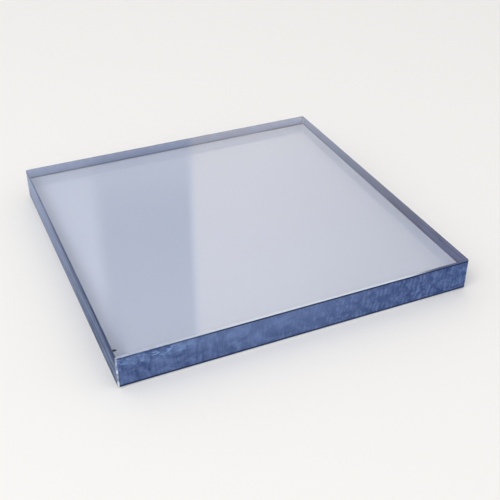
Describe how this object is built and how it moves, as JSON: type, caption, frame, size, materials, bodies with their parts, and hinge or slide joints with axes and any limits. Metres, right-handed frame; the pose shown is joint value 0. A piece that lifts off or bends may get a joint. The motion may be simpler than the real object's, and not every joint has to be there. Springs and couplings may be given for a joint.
{
  "type": "polycarbonate sheet",
  "caption": "Flat square piece of clear solid polycarbonate sheet with a faint blue body tint, sawn edges and lightly broken arrises.",
  "frame": {"origin": "middle of the underside, on the floor the sheet lies on", "axes": "+Z along the thickness, out of the upper face; +X along the length and +Y along the width"},
  "size_m": [0.1, 0.1, 0.0095],
  "materials": {
    "polycarbonate": "polished"
  },
  "bodies": {
    "root": {"sheet": "polycarbonate"}
  },
  "joints": []
}
